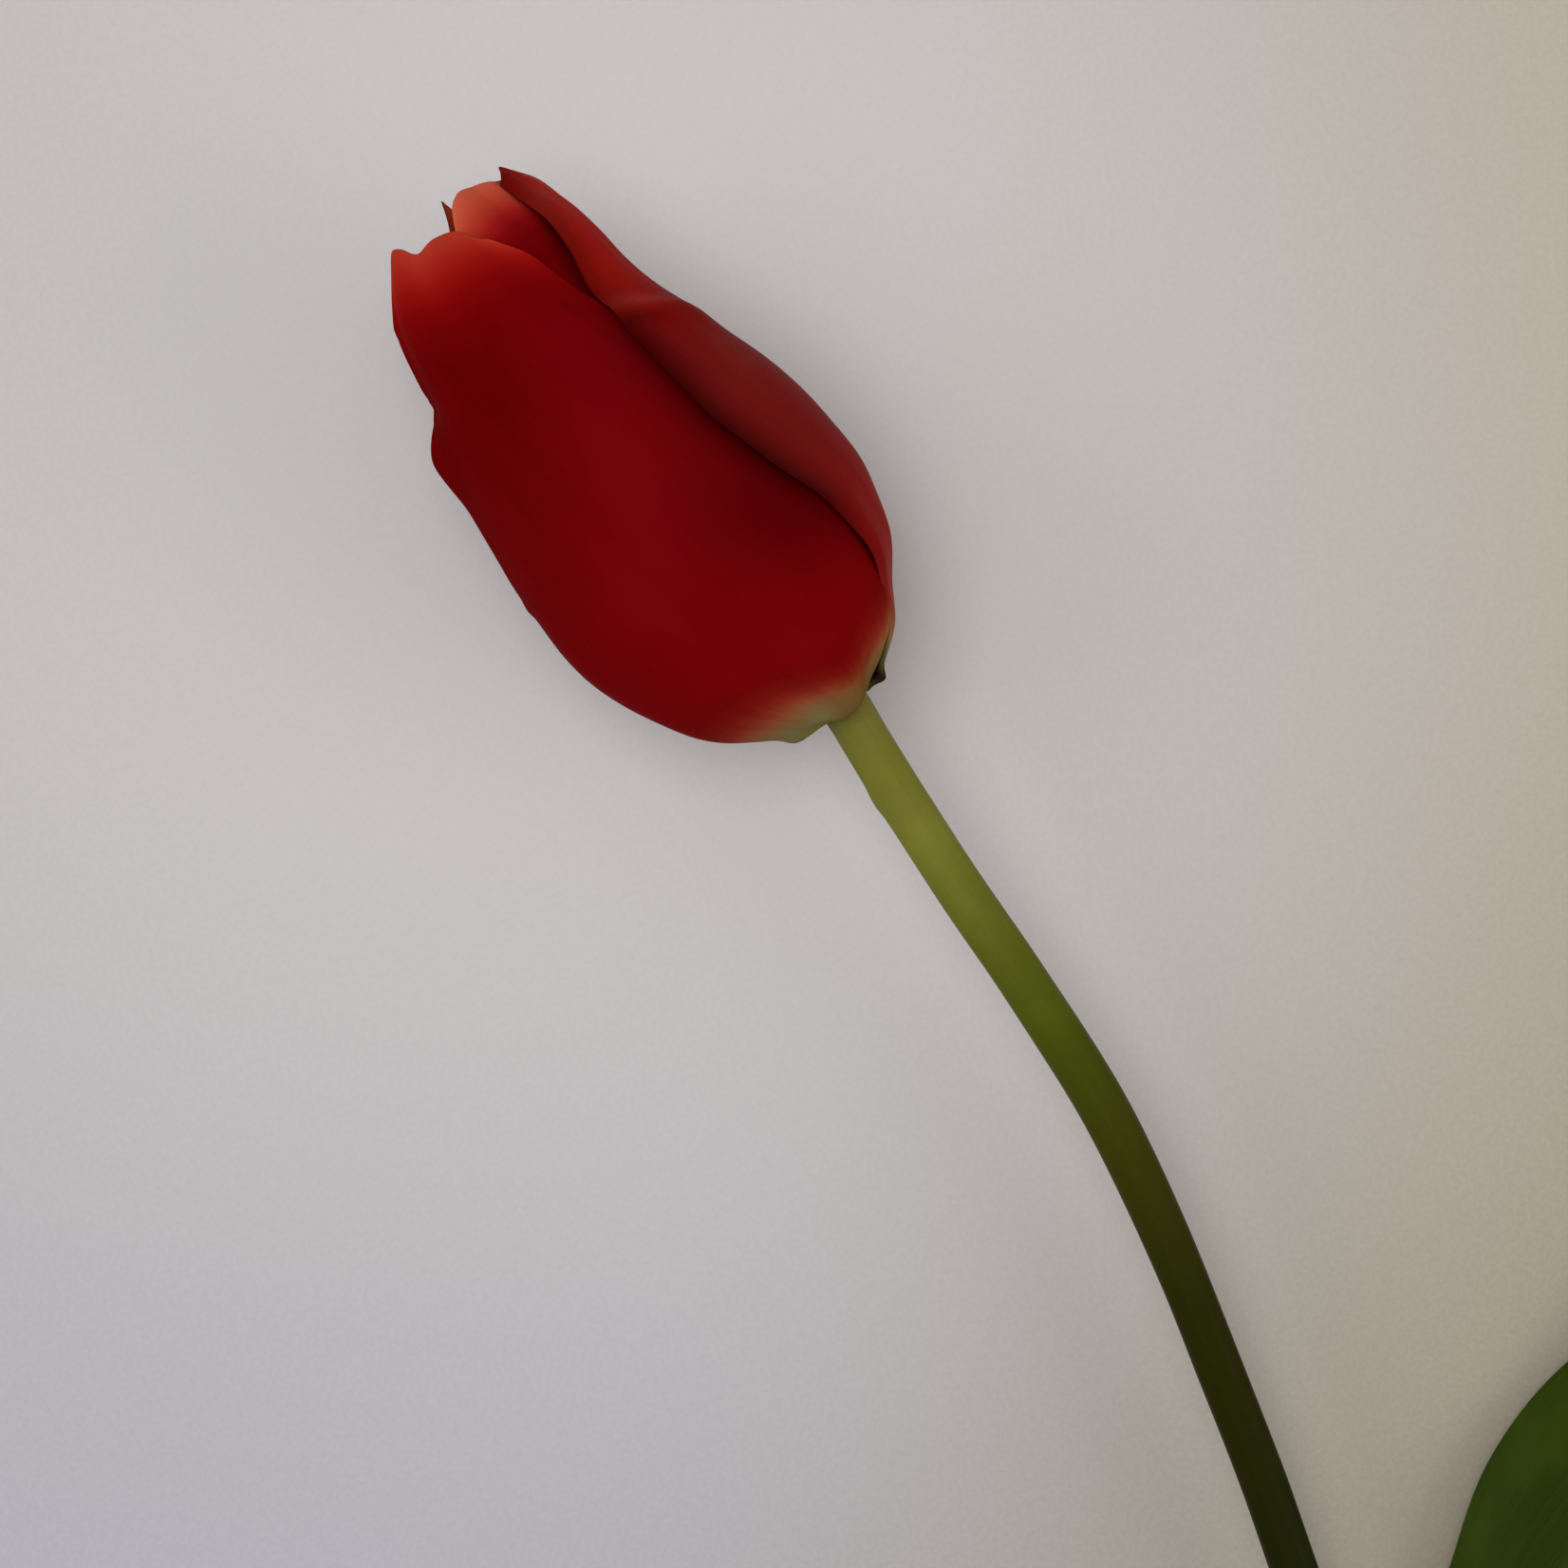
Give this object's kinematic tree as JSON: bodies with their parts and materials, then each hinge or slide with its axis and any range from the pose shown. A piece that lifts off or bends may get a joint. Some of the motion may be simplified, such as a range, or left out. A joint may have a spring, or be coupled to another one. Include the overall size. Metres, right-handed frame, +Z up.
{
  "type": "cut tulip",
  "caption": "Single cut flower with a closed oval bloom of overlapping petals, a curved bare stem and two stem leaves, lying on its side.",
  "frame": {"origin": "on the surface that the flower lies on, in the middle of its length and width", "axes": "+Y along the stem towards the bloom, +X to the flower's right seen from above with the bloom up, +Z up"},
  "size_m": [0.2258, 0.3278, 0.0443],
  "materials": {
    "petal": "satin",
    "inner_petal": "satin",
    "stem": "satin",
    "leaf": "satin",
    "pistil": "matte",
    "stamens": "matte"
  },
  "bodies": {
    "root": {"stem": "stem", "outer_petal_front": "petal", "outer_petal_right": "petal", "outer_petal_back": "petal", "inner_petal_right": "inner_petal", "inner_petal_back": "inner_petal", "inner_petal_left": "inner_petal", "pistil": "pistil", "stamens": "stamens", "leaf_right": "leaf", "leaf_left": "leaf"}
  },
  "joints": []
}
